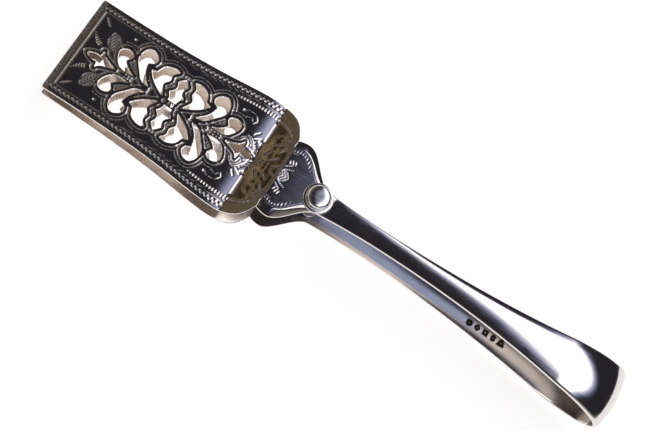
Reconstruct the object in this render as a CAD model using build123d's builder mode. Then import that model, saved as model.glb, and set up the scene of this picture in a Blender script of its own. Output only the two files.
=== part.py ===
"""Sprung serving tongs in silver: two pierced blades on domed arms, joined by a bow spring.

The tongs lie along X with the blade tips at -X and the bow at +X. Z is the squeezing
direction: the upper half is above the plane Z = 0 and the lower half is its mirror image.
The origin is the middle of the whole object.
"""

import os
from math import cos, pi, radians, sin

from build123d import *

os.makedirs("parts", exist_ok=True)

# ---------------------------------------------------------------- driving dimensions (mm)
overall_length = 250.0  # blade tips to the outside of the bow
blade_length = 81.0  # tip to the fold at the heel
slope_length = 10.5  # fold at the heel to the fold at the neck
neck_length = 18.0  # fold at the neck to the guide post
bow_depth = 28.0  # start of the bow to its outside

tip_half_gap = 3.2  # inner face above the middle plane, at the tips
heel_half_gap = 6.4  # the same at the heel fold
neck_half_gap = 7.9  # the same at the neck
bow_half_gap = 11.05  # the same where the bow starts

sheet = 1.2  # thickness of the blade sheet
fold_radius = 0.8  # inside and outside bends of the sheet
solder_gap = 0.03  # between faces that are soldered together

tip_half_width = 21.2
waist_half_width = 21.3
heel_half_width = 24.6
notch_half_width = 15.6  # blade and shoulder where they meet at the neck fold
corner_radius = 0.6  # tip corners of the blade

shoulder_half_width = 16.5  # widest part of the arm's shoulder
shoulder_border = 3.2  # bevelled border of the shoulder, outside the blade's tongue
neck_floor = 1.0  # arm metal under the tongue
tongue_end_radius = 4.4

bar_start_half_width = 4.9  # arm just behind the button
bar_half_width = 3.75  # narrowest part of the arm
bow_start_half_width = 9.65
bow_half_width = 12.5

post_diameter = 3.2
post_clearance = 0.5  # radial, the upper half swings on an arc along the straight post
stop_gap = 0.1  # under the stop ring when the tongs are at rest
collar_diameter = 6.4
collar_height = 1.6
collar_edge = 0.5
rivet_diameter = 8.4
rivet_height = 1.5
ring_diameter = 12.0
ring_thickness = 0.8
cap_diameter = 10.2
cap_height = 2.9
cap_edge = 0.3
cap_dome = 0.3
cap_socket_depth = 1.5
socket_clearance = 0.02

shoulder_rim = 0.8  # height of the shoulder's upright edge
shoulder_dome = 0.05

# Cross-section of the arm: (rim height, bevel width, bevel height, dome height, hollow)
shoulder_bevel = neck_floor + sheet - shoulder_rim - shoulder_dome  # brings the border up to the tongue
shoulder_section = (shoulder_rim, shoulder_border, shoulder_bevel, shoulder_dome, 0.05)
bar_section = (1.2, 0.4, 0.25, 0.5, 0.1)
bow_start_section = (1.4, 0.6, 0.4, 1.6, 1.7)
bow_end_section = (1.5, 0.6, 0.4, 1.8, 2.2)
arm_sections = 44  # straight steps along the arm

# Piercing: clear metal round the pattern
pattern_tip_margin = 6.3
pattern_fold_margin = 0.7
pattern_side_margin = 6.4

# ---------------------------------------------------------------- derived places
tip_x = -overall_length / 2
fold_x = tip_x + blade_length
neck_x = fold_x + slope_length
post_x = neck_x + neck_length
bow_x = overall_length / 2 - bow_depth
shoulder_x = neck_x + neck_length / 4
bar_x = post_x + ring_diameter / 4
rise_x = post_x + ring_diameter / 2  # the arm is level up to the edge of the stop ring
waist_x = tip_x + blade_length * 0.3
neck_top = neck_half_gap + neck_floor + sheet
bow_reach = bow_depth - (bow_end_section[0] + bow_end_section[2] + bow_end_section[3])
tongue_end_x = post_x + tongue_end_radius
wide = 4 * heel_half_width  # wider and taller than any piece


def ease(s):
    """Smooth step from 0 to 1 with level ends."""
    return (1 - cos(pi * min(max(s, 0), 1))) / 2


def mix(a, b, s):
    """Values of tuple a blended towards tuple b."""
    return tuple(u + (v - u) * s for u, v in zip(a, b))


def arm_half_width(x):
    """Half width of shoulder and bar at x: shoulder, waist behind the button, then a slow flare."""
    if x < shoulder_x:
        spread = (shoulder_x - x) / (shoulder_x - neck_x)
        return shoulder_half_width - (shoulder_half_width - notch_half_width) * spread**2
    if x < bar_x:
        fall = ease((x - shoulder_x) / (bar_x - shoulder_x))
        return shoulder_half_width - (shoulder_half_width - bar_start_half_width) * fall
    s = (x - bar_x) / (bow_x - bar_x)
    thin = (bar_start_half_width - bar_half_width) * max(1 - 4 * s, 0) ** 2
    flare = (bow_start_half_width - bar_half_width) * max((s - 0.22) / 0.78, 0) ** 2.2
    return bar_half_width + thin + flare


def arm_half_gap(x):
    """Height of the arm's inner face above the middle plane: a rise that levels out at the bow."""
    left = 1 - max((x - rise_x) / (bow_x - rise_x), 0)
    return bow_half_gap - (bow_half_gap - neck_half_gap) * left**2.4


def arm_shape(x):
    """Cross-section values at x, from the flat shoulder through the bar to the hollow bow start."""
    if x < bar_x:
        return mix(shoulder_section, bar_section, ease((x - shoulder_x) / (bar_x - shoulder_x)) ** 3)
    return mix(bar_section, bow_start_section, ease((x - bar_x) / (bow_x - bar_x)))


def strip_section(plane, half, shape):
    """Bevelled, domed and hollowed strip section: x across the strip, y outwards."""
    rim, bevel, bevel_height, dome, hollow = shape
    shelf = half - bevel
    top = rim + bevel_height
    with BuildSketch(plane) as section:
        with BuildLine():
            Line((-half, 0), (-half, rim))
            Line((-half, rim), (-shelf, top))
            ThreePointArc((-shelf, top), (0, top + dome), (shelf, top))
            Line((shelf, top), (half, rim))
            Line((half, rim), (half, 0))
            ThreePointArc((half, 0), (0, hollow), (-half, 0))
        make_face()
    return section.sketch.face()


def tongue_sketch(grow=0.0):
    """Plan of the blade's tongue, from the neck fold to its round end past the post."""
    stations = [neck_x + neck_length * share for share in (0, 0.25, 0.5, 0.75)]
    border = shoulder_border - grow
    end_radius = tongue_end_radius + grow
    edge_points = [(x, arm_half_width(x) - border) for x in stations] + [(post_x, end_radius)]
    with BuildSketch() as tongue:
        with BuildLine():
            edge = Spline(*edge_points, tangents=[(1, 0.1), (1, 0)], tangent_scalars=(0.5, 0.5))
            RadiusArc(edge @ 1, (post_x + end_radius, 0), end_radius)
            Line((post_x + end_radius, 0), (neck_x, 0))
            Line((neck_x, 0), edge @ 0)
        make_face()
        mirror(about=Plane.XZ)
    return tongue.sketch


# ---------------------------------------------------------------- piercing pattern
pattern_x = (tip_x + pattern_tip_margin + fold_x - pattern_fold_margin) / 2
pattern_reach = (blade_length - pattern_tip_margin - pattern_fold_margin) / 2
pattern_rise = waist_half_width - pattern_side_margin


def spot(out, up):
    """Point of the pattern: shares of its reach towards the tip and of its rise to the side."""
    return (pattern_x - out * pattern_reach, up * pattern_rise)


def spots(*pairs):
    return [spot(*pair) for pair in pairs]


with BuildSketch() as piercing:
    # Small comma scroll beside the leaf: round head, cusp and a tail along the axis
    with BuildLine():
        Line(spot(0.628, 0.368), spot(0.589, 0.496))
        Spline(*spots((0.589, 0.496), (0.607, 0.613), (0.661, 0.656), (0.716, 0.59), (0.731, 0.46),
                      (0.69, 0.248), (0.602, 0.096), (0.479, 0.107)))
        Spline(*spots((0.479, 0.107), (0.55, 0.19), (0.628, 0.368)))
    make_face()
    # Large comma scroll
    with BuildLine():
        Line(spot(0.428, 0.619), spot(0.374, 0.693))
        Spline(*spots((0.374, 0.693), (0.358, 0.83), (0.449, 1.0), (0.53, 0.77), (0.481, 0.416),
                      (0.421, 0.237), (0.35, 0.1), (0.288, 0.077)))
        Spline(*spots((0.288, 0.077), (0.383, 0.315), (0.428, 0.619)))
    make_face()
    # Petal with a wavy inner side
    with BuildLine():
        Spline(*spots((0.353, 0.533), (0.255, 0.275), (0.12, 0.085)))
        Spline(*spots((0.12, 0.085), (0.169, 0.293), (0.178, 0.4), (0.14, 0.54), (0.146, 0.7),
                      (0.097, 0.861)))
        Spline(*spots((0.097, 0.861), (0.145, 0.901), (0.213, 0.864), (0.28, 0.68), (0.294, 0.581)))
        Line(spot(0.294, 0.581), spot(0.353, 0.533))
    make_face()
    # Half of the zigzag slot across the middle
    with BuildLine():
        Line(spot(0, 0.085), spot(0.044, 0.085))
        Spline(*spots((0.044, 0.085), (0.049, 0.187), (0.084, 0.301)))
        Spline(*spots((0.084, 0.301), (0.036, 0.427), (0.033, 0.507), (0.057, 0.64)))
        Line(spot(0.057, 0.64), spot(0, 0.8))
        Line(spot(0, 0.8), spot(0, 0.085))
    make_face()
    # Half of the barbed leaf on the axis
    with BuildLine():
        Spline(*spots((1.0, 0), (0.935, 0.091), (0.903, 0.104), (0.862, 0.077)))
        Line(spot(0.862, 0.077), spot(0.854, 0.253))
        Spline(*spots((0.854, 0.253), (0.82, 0.144), (0.767, 0.085), (0.666, 0)))
        Line(spot(0.666, 0), spot(1.0, 0))
    make_face()
    mirror(about=Plane.YZ.offset(pattern_x))
    mirror(about=Plane.XZ)

# ---------------------------------------------------------------- upper blade
outer_line = [
    (tip_x, tip_half_gap + sheet),
    (fold_x, heel_half_gap + sheet),
    (neck_x, neck_top),
    (tongue_end_x, neck_top),
]
inner_line = [(x, z - sheet) for x, z in reversed(outer_line)]

with BuildSketch() as blade_plan:
    with BuildLine():
        Line((tip_x, 0), (tip_x, tip_half_width))
        side = Spline(
            (tip_x, tip_half_width),
            (waist_x, waist_half_width),
            (tip_x + blade_length * 0.7, (waist_half_width + heel_half_width) / 2),
            (fold_x - slope_length / 3, heel_half_width),
            tangents=[(1, 0), (1, 0)],
            tangent_scalars=(0.6, 0.6),
        )
        heel = Spline(
            side @ 1,
            (fold_x + slope_length * 0.62, (heel_half_width * 2 + notch_half_width) / 3),
            (neck_x, notch_half_width),
            tangents=[(1, 0), (0.5, -1)],
            tangent_scalars=(0.8, 0.8),
        )
        Line(heel @ 1, (neck_x, 0))
        Line((neck_x, 0), (tip_x, 0))
    make_face()
    mirror(about=Plane.XZ)
    fillet(blade_plan.vertices().group_by(Axis.X)[0], corner_radius)
    add(tongue_sketch())

with BuildPart() as blade_blank:
    with BuildSketch(Plane.XZ) as side_profile:
        with BuildLine():
            Polyline(*outer_line, *inner_line, close=True)
        make_face()
        folds = [v for v in side_profile.vertices() if tip_x + 1 < v.X < tongue_end_x - 1]
        fillet(folds, fold_radius)
    extrude(amount=wide, both=True)
    add(extrude(blade_plan.sketch, amount=wide, both=True, mode=Mode.PRIVATE), mode=Mode.INTERSECT)
    add(extrude(piercing.sketch, amount=wide, both=True, mode=Mode.PRIVATE), mode=Mode.SUBTRACT)

with BuildPart() as upper_blade:
    add(blade_blank.part)
    with Locations((post_x, 0, neck_top)):
        Hole(post_diameter / 2 + post_clearance)

with BuildPart() as lower_blade:
    add(mirror(blade_blank.part, about=Plane.XY, mode=Mode.PRIVATE))
    with Locations((post_x, 0, -neck_top)):
        Hole(post_diameter / 2 + solder_gap)

# ---------------------------------------------------------------- arms
stations = [neck_x + (bow_x - neck_x) * i / arm_sections for i in range(arm_sections + 1)]

with BuildPart() as arm_blank:
    loft(
        sections=[
            strip_section(
                Plane((x, 0, arm_half_gap(x)), x_dir=(0, 1, 0), z_dir=(1, 0, 0)),
                arm_half_width(x),
                arm_shape(x),
            )
            for x in stations
        ],
        ruled=True,
    )
    seat = neck_top - sheet - solder_gap
    add(
        extrude(Plane.XY.offset(seat) * tongue_sketch(solder_gap), amount=wide, mode=Mode.PRIVATE),
        mode=Mode.SUBTRACT,
    )

with BuildPart() as upper_arm:
    add(arm_blank.part)
    with Locations((post_x, 0, neck_top)):
        Hole(post_diameter / 2 + post_clearance)

with BuildPart() as lower_arm:
    add(mirror(arm_blank.part, about=Plane.XY, mode=Mode.PRIVATE))
    with Locations((post_x, 0, -neck_top)):
        Hole(post_diameter / 2 + solder_gap)


# ---------------------------------------------------------------- bow spring
def bow_plane(turn):
    """Section plane on the bow's inner half ellipse, turn degrees from the upper arm's end."""
    t = radians(turn)
    place = (bow_x + bow_reach * sin(t), 0, bow_half_gap * cos(t))
    along = (bow_reach * cos(t), 0, -bow_half_gap * sin(t))
    return Plane(place, x_dir=(0, 1, 0), z_dir=along)


def bow_section(turn):
    bend = sin(radians(turn))
    half = bow_start_half_width + (bow_half_width - bow_start_half_width) * bend
    return strip_section(bow_plane(turn), half, mix(bow_start_section, bow_end_section, bend))


with BuildPart() as bow_spring:
    loft(sections=[bow_section(turn) for turn in range(0, 181, 15)])

# ---------------------------------------------------------------- guide post and button
ring_z = neck_top + stop_gap
cap_z = ring_z + ring_thickness
post_top = cap_z + cap_socket_depth - solder_gap

with BuildPart() as guide_post:
    with BuildSketch(Plane.XZ) as post_profile:
        with BuildLine():
            foot = -neck_top - solder_gap
            RadiusArc((post_x, foot - rivet_height), (post_x + rivet_diameter / 2, foot),
                      -(rivet_diameter**2 / 4 + rivet_height**2) / (2 * rivet_height))
            Polyline(
                (post_x + rivet_diameter / 2, foot),
                (post_x + post_diameter / 2, foot),
                (post_x + post_diameter / 2, post_top),
                (post_x, post_top),
                (post_x, foot - rivet_height),
            )
        make_face()
    revolve(axis=Axis((post_x, 0, 0), (0, 0, 1)))

with BuildPart() as guide_collar:
    with BuildSketch(Plane.XY.offset(-neck_half_gap + solder_gap)):
        with Locations((post_x, 0)):
            Circle(collar_diameter / 2)
            Circle(post_diameter / 2 + socket_clearance, mode=Mode.SUBTRACT)
    extrude(amount=collar_height)
    top_edges = guide_collar.edges().filter_by(GeomType.CIRCLE).group_by(Axis.Z)[-1]
    fillet(top_edges.sort_by(SortBy.RADIUS)[-1], collar_edge)

with BuildPart() as stop_ring:
    with BuildSketch(Plane.XY.offset(ring_z)):
        with Locations((post_x, 0)):
            Circle(ring_diameter / 2)
            Circle(post_diameter / 2 + socket_clearance, mode=Mode.SUBTRACT)
    extrude(amount=ring_thickness)
    outer_edges = stop_ring.edges().filter_by(GeomType.CIRCLE).group_by(SortBy.RADIUS)[-1]
    fillet(outer_edges, ring_thickness * 0.4)

with BuildPart() as button_cap:
    with BuildSketch(Plane.XZ) as cap_profile:
        with BuildLine():
            wall = cap_diameter / 2
            crown = wall - cap_edge
            shoulder = cap_z + cap_height - cap_dome
            Polyline(
                (post_x, cap_z + cap_socket_depth),
                (post_x + post_diameter / 2 + socket_clearance, cap_z + cap_socket_depth),
                (post_x + post_diameter / 2 + socket_clearance, cap_z),
                (post_x + wall, cap_z),
                (post_x + crown, shoulder),
            )
            RadiusArc((post_x + crown, shoulder), (post_x, cap_z + cap_height),
                      -(crown**2 + cap_dome**2) / (2 * cap_dome))
            Line((post_x, cap_z + cap_height), (post_x, cap_z + cap_socket_depth))
        make_face()
    revolve(axis=Axis((post_x, 0, 0), (0, 0, 1)))

# ---------------------------------------------------------------- export
pieces = {
    "upper_blade": upper_blade,
    "lower_blade": lower_blade,
    "upper_arm": upper_arm,
    "lower_arm": lower_arm,
    "bow_spring": bow_spring,
    "guide_post": guide_post,
    "guide_collar": guide_collar,
    "stop_ring": stop_ring,
    "button_cap": button_cap,
}
for name, piece in pieces.items():
    piece.part.label = name
    export_step(piece.part, f"parts/{name}.step")
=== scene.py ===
"""Sprung serving tongs in silver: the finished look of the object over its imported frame.

Every piece is a surface worked out with numpy in metres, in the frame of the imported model:
+X to the bow, +Y across the blades, +Z the direction in which the tongs are squeezed.
"""

from types import SimpleNamespace

import bmesh
import bpy
import numpy as np
from bpy.props import FloatProperty, FloatVectorProperty, PointerProperty
from mathutils import Matrix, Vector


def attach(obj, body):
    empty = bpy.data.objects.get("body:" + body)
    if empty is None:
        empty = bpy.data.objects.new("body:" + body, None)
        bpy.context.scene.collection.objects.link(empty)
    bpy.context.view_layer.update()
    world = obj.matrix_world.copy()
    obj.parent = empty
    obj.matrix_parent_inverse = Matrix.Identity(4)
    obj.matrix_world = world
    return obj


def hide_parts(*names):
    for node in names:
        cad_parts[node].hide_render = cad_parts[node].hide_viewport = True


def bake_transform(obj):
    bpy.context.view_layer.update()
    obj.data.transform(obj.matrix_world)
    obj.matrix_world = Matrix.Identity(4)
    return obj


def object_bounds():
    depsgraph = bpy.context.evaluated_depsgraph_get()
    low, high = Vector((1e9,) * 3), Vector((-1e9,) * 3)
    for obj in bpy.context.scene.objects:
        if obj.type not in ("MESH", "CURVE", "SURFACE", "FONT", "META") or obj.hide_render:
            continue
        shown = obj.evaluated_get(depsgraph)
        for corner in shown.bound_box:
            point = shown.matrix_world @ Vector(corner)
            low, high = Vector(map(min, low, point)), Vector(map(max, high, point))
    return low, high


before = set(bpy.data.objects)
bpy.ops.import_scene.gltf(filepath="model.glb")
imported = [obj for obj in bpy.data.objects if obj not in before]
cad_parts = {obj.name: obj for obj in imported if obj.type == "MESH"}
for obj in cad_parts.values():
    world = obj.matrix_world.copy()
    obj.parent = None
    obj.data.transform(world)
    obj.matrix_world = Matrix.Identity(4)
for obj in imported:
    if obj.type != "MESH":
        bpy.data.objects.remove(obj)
cad_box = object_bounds()
MM = 0.001

bl_info = {
    "name": "Silver serving tongs",
    "version": (1, 0, 0),
    "blender": (4, 5, 0),
    "location": "3D View > Sidebar > Tongs",
    "description": "Builds pierced and engraved serving tongs over their packed frame",
    "category": "Object",
}


def linear(hex_colour):
    """sRGB hex colour to linear red, green and blue."""
    srgb = np.array([int(hex_colour[i:i + 2], 16) for i in (1, 3, 5)]) / 255
    return tuple(np.where(srgb <= 0.04045, srgb / 12.92, ((srgb + 0.055) / 1.055) ** 2.4))


def length(name, millimetres, description):
    """A length property that is stored in metres and shown in the scene's unit."""
    return FloatProperty(name=name, description=description, default=millimetres * MM, min=0.0,
                         precision=5, subtype="DISTANCE", unit="LENGTH")


def colour(name, hex_colour, description):
    """A colour property that is given as sRGB hex."""
    return FloatVectorProperty(name=name, description=description, default=linear(hex_colour), size=3,
                               min=0.0, max=1.0, subtype="COLOR")


# ---------------------------------------------------------------- sizes and colours
class TongsSizes(bpy.types.PropertyGroup):
    overall_length: length("Overall length", 250, "Blade tips to the outside of the bow")
    blade_length: length("Blade length", 81, "Tip to the fold at the heel")
    slope_length: length("Slope length", 10.5, "Heel fold to neck fold")
    neck_length: length("Neck length", 18, "Neck fold to the guide post")
    bow_depth: length("Bow depth", 28, "Start of the bow to its outside")
    tip_half_gap: length("Tip half gap", 3.2, "Inner face above the middle plane at the tips")
    heel_half_gap: length("Heel half gap", 6.4, "The same at the heel fold")
    neck_half_gap: length("Neck half gap", 7.9, "The same at the neck")
    bow_half_gap: length("Bow half gap", 11.05, "The same where the bow starts")
    sheet: length("Sheet", 1.2, "Thickness of the blade sheet")
    neck_floor: length("Neck floor", 1.0, "Arm metal under the blade's tongue")
    tip_half_width: length("Tip half width", 21.2, "Half width of the blade at its tip")
    waist_half_width: length("Waist half width", 21.3, "Half width of the blade at its waist")
    heel_half_width: length("Heel half width", 24.6, "Half width of the blade at its heel")
    notch_half_width: length("Notch half width", 15.6, "Half width where blade and shoulder meet")
    shoulder_half_width: length("Shoulder half width", 16.5, "Widest part of the arm's shoulder")
    shoulder_border: length("Shoulder border", 3.2, "Bevelled border outside the tongue")
    tongue_end_radius: length("Tongue end radius", 4.4, "Round end of the tongue at the post")
    bar_start_half_width: length("Bar start half width", 4.9, "Arm just behind the button")
    bar_half_width: length("Bar half width", 3.75, "Narrowest part of the arm")
    bow_start_half_width: length("Bow start half width", 9.65, "Arm where the bow starts")
    bow_half_width: length("Bow half width", 12.5, "Bow at its outside")
    post_diameter: length("Post diameter", 3.2, "Guide post")
    ring_diameter: length("Ring diameter", 12, "Stop ring under the button")
    cap_diameter: length("Button diameter", 10.2, "Button over the stop ring")
    cap_height: length("Button height", 2.9, "Stop ring to the top of the button")
    cut_depth: length("Cut depth", 0.15, "Depth of the graver's cuts")
    cut_width: length("Cut width", 0.5, "Width of an engraved line")
    grid_step: length("Grid step", 0.3, "Spacing of the blade's surface grid")


class TongsColours(bpy.types.PropertyGroup):
    silver: colour("Silver", "#e6dfdb", "Polished sterling silver")
    cut_silver: colour("Cut silver", "#cdc8cc", "Satin silver in the engraved lines")
    inner_silver: colour("Inner silver", "#ece2da", "Warm tarnish on the inner faces")
    # Painted reflection inside the arms and bow: slate is a painted blue-grey reflection of the
    # studio panel, and warm is partly tarnish, partly a painted reflection of the warm room
    warm_tarnish_and_painted_reflection: colour("Warm silver", "#a89c94", "Warm tarnish along the edges inside the arms")
    slate_painted_reflection: colour("Slate silver", "#777c90", "Blue-grey tarnish inside the arms")
    stamp_silver: colour("Stamp silver", "#332e2b", "Dark oxide in the punched marks")
    button_silver: colour("Button silver", "#e2e0e2", "Worn polished silver of the button")
    floor: colour("Floor", "#f7f7f7", "Plain pale table")


def plan():
    """The sizes with every place that follows from them, all in metres."""
    s = bpy.context.scene.tongs_sizes
    p = SimpleNamespace(**{key: getattr(s, key) for key in TongsSizes.__annotations__})
    p.tip_x = -p.overall_length / 2
    p.fold_x = p.tip_x + p.blade_length
    p.neck_x = p.fold_x + p.slope_length
    p.post_x = p.neck_x + p.neck_length
    p.bow_x = p.overall_length / 2 - p.bow_depth
    p.shoulder_x = p.neck_x + p.neck_length / 4
    p.bar_x = p.post_x + p.ring_diameter / 4
    p.rise_x = p.post_x + p.ring_diameter / 2
    p.neck_top = p.neck_half_gap + p.neck_floor + p.sheet
    # Fits: between soldered faces, round the post in its holes, and under the ring at rest
    p.solder_gap = 0.03 * MM
    p.post_clearance = 0.5 * MM
    p.socket_clearance = 0.02 * MM
    p.stop_gap = 0.1 * MM
    p.ring_thickness = 0.8 * MM
    p.ring_z = p.neck_top + p.stop_gap
    p.cap_z = p.ring_z + p.ring_thickness
    p.post_radius = p.post_diameter / 2
    p.rivet_radius = 4.2 * MM
    p.collar_radius = 3.2 * MM
    p.collar_height = 1.6 * MM
    # Cross-section values: rim height, bevel width, bevel height, dome height, hollow
    shoulder_rim, shoulder_dome = 0.8, 0.05
    shoulder_bevel = (p.neck_floor + p.sheet) / MM - shoulder_rim - shoulder_dome
    p.shoulder_section = np.array([
        shoulder_rim, p.shoulder_border / MM, shoulder_bevel, shoulder_dome, 0.05]) * MM
    p.bar_section = np.array([1.2, 0.4, 0.25, 0.5, 0.1]) * MM
    p.bow_start_section = np.array([1.4, 0.6, 0.4, 1.6, 1.7]) * MM
    p.bow_end_section = np.array([1.5, 0.6, 0.4, 1.8, 2.2]) * MM
    p.bow_reach = p.bow_depth - p.bow_end_section[[0, 2, 3]].sum()
    # Plain metal round the pierced pattern, then the pattern's middle, reach and rise
    tip_margin = 6.3 * MM
    fold_margin = 0.7 * MM
    side_margin = 6.4 * MM
    p.pattern_x = (p.tip_x + tip_margin + p.fold_x - fold_margin) / 2
    p.pattern_reach = (p.blade_length - tip_margin - fold_margin) / 2
    p.pattern_rise = p.waist_half_width - side_margin
    return p


# ---------------------------------------------------------------- curves in the plane
def smoothstep(low, high, value):
    """0 below low, 1 above high, with level ends between them."""
    s = np.clip((value - low) / (high - low), 0, 1)
    return s * s * (3 - 2 * s)


def ease(s):
    """Half a cosine wave from 0 to 1."""
    return (1 - np.cos(np.pi * np.clip(s, 0, 1))) / 2


def through(points, start=None, end=None, steps=8):
    """A cubic through the points, its speed matched at each one; an end is free or has a direction.

    The parameter is the chord length, and the slopes solve the usual three-term equations of a
    cubic spline whose free ends have no curvature.
    """
    points = np.asarray(points, float)
    chord = np.hypot(*np.diff(points, axis=0).T)
    count = len(points)
    matrix = np.zeros((count, count))
    right = np.zeros((count, 2))
    inner = np.arange(1, count - 1)
    before, after = chord[:-1], chord[1:]
    rate = np.diff(points, axis=0) / chord[:, None]
    matrix[inner, inner - 1] = after
    matrix[inner, inner] = 2 * (before + after)
    matrix[inner, inner + 1] = before
    right[1:-1] = 3 * (after[:, None] * rate[:-1] + before[:, None] * rate[1:])
    matrix[0, 0], matrix[-1, -1] = 2, 2
    matrix[0, 1], matrix[-1, -2] = 1, 1
    right[0], right[-1] = 3 * rate[0], 3 * rate[-1]
    if start is not None:
        matrix[0, :2] = 1, 0
        right[0] = np.asarray(start, float) / np.hypot(*start)
    if end is not None:
        matrix[-1, -2:] = 0, 1
        right[-1] = np.asarray(end, float) / np.hypot(*end)
    slope = np.linalg.solve(matrix, right)
    t = np.linspace(0, 1, steps, endpoint=False)[None, :, None]
    a, b = points[:-1, None], points[1:, None]
    u, v = slope[:-1, None] * chord[:, None, None], slope[1:, None] * chord[:, None, None]
    curve = ((2 * t**3 - 3 * t**2 + 1) * a + (t**3 - 2 * t**2 + t) * u
             + (3 * t**2 - 2 * t**3) * b + (t**3 - t**2) * v)
    return np.vstack([curve.reshape(-1, 2), points[-1:]])


def distance(points, outline, closed=True):
    """Distance from each point to the outline; negative inside it if it is closed.

    The nearest place on each straight run is the foot of the perpendicular, kept on the run.
    A point is inside if a line from it towards +X crosses the outline an odd number of times.
    """
    a = outline if closed else outline[:-1]
    b = np.roll(outline, -1, axis=0) if closed else outline[1:]
    run = b - a
    keep = np.hypot(*run.T) > 1e-9
    a, b, run = a[keep], b[keep], run[keep]
    x, y = points[:, :1], points[:, 1:]
    share = ((x - a[:, 0]) * run[:, 0] + (y - a[:, 1]) * run[:, 1]) / (run**2).sum(1)
    share = np.clip(share, 0, 1)
    gap = np.hypot(x - a[:, 0] - share * run[:, 0], y - a[:, 1] - share * run[:, 1]).min(1)
    if not closed:
        return gap
    spans = (a[:, 1] > y) != (b[:, 1] > y)
    rise = np.where(run[:, 1] == 0, 1, run[:, 1])
    crossing = a[:, 0] + (y - a[:, 1]) / rise * run[:, 0]
    inside = (spans & (x < crossing)).sum(1) % 2 == 1
    return np.where(inside, -gap, gap)


# ---------------------------------------------------------------- shapes of the tongs
def arm_half_width(p, x):
    """Half width of shoulder and bar at x: shoulder, waist behind the button, then a slow flare."""
    spread = (p.shoulder_x - x) / (p.shoulder_x - p.neck_x)
    shoulder = p.shoulder_half_width - (p.shoulder_half_width - p.notch_half_width) * spread**2
    fall = ease((x - p.shoulder_x) / (p.bar_x - p.shoulder_x))
    sweep = p.shoulder_half_width - (p.shoulder_half_width - p.bar_start_half_width) * fall
    s = (x - p.bar_x) / (p.bow_x - p.bar_x)
    thin = (p.bar_start_half_width - p.bar_half_width) * np.maximum(1 - 4 * s, 0) ** 2
    flare = (p.bow_start_half_width - p.bar_half_width) * np.maximum((s - 0.22) / 0.78, 0) ** 2.2
    bar = p.bar_half_width + thin + flare
    return np.where(x < p.shoulder_x, shoulder, np.where(x < p.bar_x, sweep, bar))


def arm_half_gap(p, x):
    """Height of the arm's inner face above the middle plane: a rise that levels out at the bow."""
    left = 1 - np.maximum((x - p.rise_x) / (p.bow_x - p.rise_x), 0)
    return p.bow_half_gap - (p.bow_half_gap - p.neck_half_gap) * left**2.4


def arm_shape(p, x):
    """Cross-section values at each x: shoulder blended to bar, then bar to the bow's start."""
    front = (ease((x - p.shoulder_x) / (p.bar_x - p.shoulder_x)) ** 3)[:, None]
    back = ease((x - p.bar_x) / (p.bow_x - p.bar_x))[:, None]
    shoulder = p.shoulder_section + (p.bar_section - p.shoulder_section) * front
    bar = p.bar_section + (p.bow_start_section - p.bar_section) * back
    return np.where((x < p.bar_x)[:, None], shoulder, bar)


def tongue_edge(p):
    """The tongue's far edge from the neck fold to its round end."""
    x = p.neck_x + p.neck_length * np.array([0, 0.25, 0.5, 0.75])
    edge = np.column_stack([x, arm_half_width(p, x) - p.shoulder_border])
    edge = np.vstack([edge, [p.post_x, p.tongue_end_radius]])
    turn = np.linspace(np.pi / 2, 0, 16)[1:]
    end = np.column_stack([np.cos(turn), np.sin(turn)]) * p.tongue_end_radius + (p.post_x, 0)
    return np.vstack([through(edge, (1, 0.1), (1, 0)), end])


def blade_outline(p):
    """Half outline of the blade sheet: tip corner, long side, heel, notch and tongue."""
    waist_x = p.tip_x + p.blade_length * 0.3
    middle = (p.tip_x + p.blade_length * 0.7, (p.waist_half_width + p.heel_half_width) / 2)
    heel = (p.fold_x - p.slope_length / 3, p.heel_half_width)
    turn = (p.fold_x + p.slope_length * 0.62, (p.heel_half_width * 2 + p.notch_half_width) / 3)
    soft = 0.8 * MM
    corner = np.linspace(0, np.pi / 2, 6)
    tip = np.column_stack([
        p.tip_x + soft * (1 - np.sin(corner)), p.tip_half_width - soft * (1 - np.cos(corner))])
    tip_end = (p.tip_x + soft, p.tip_half_width)
    waist = (waist_x, p.waist_half_width)
    side = through([tip_end, waist, middle, heel], (1, 0), (1, 0))
    back = through([heel, turn, (p.neck_x, p.notch_half_width)], (1, 0), (0.5, -1))
    upper = np.vstack([[(p.tip_x, 0)], tip[::-1], side, back, tongue_edge(p)])
    return np.vstack([upper, upper[-2:0:-1] * (1, -1)])


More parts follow.
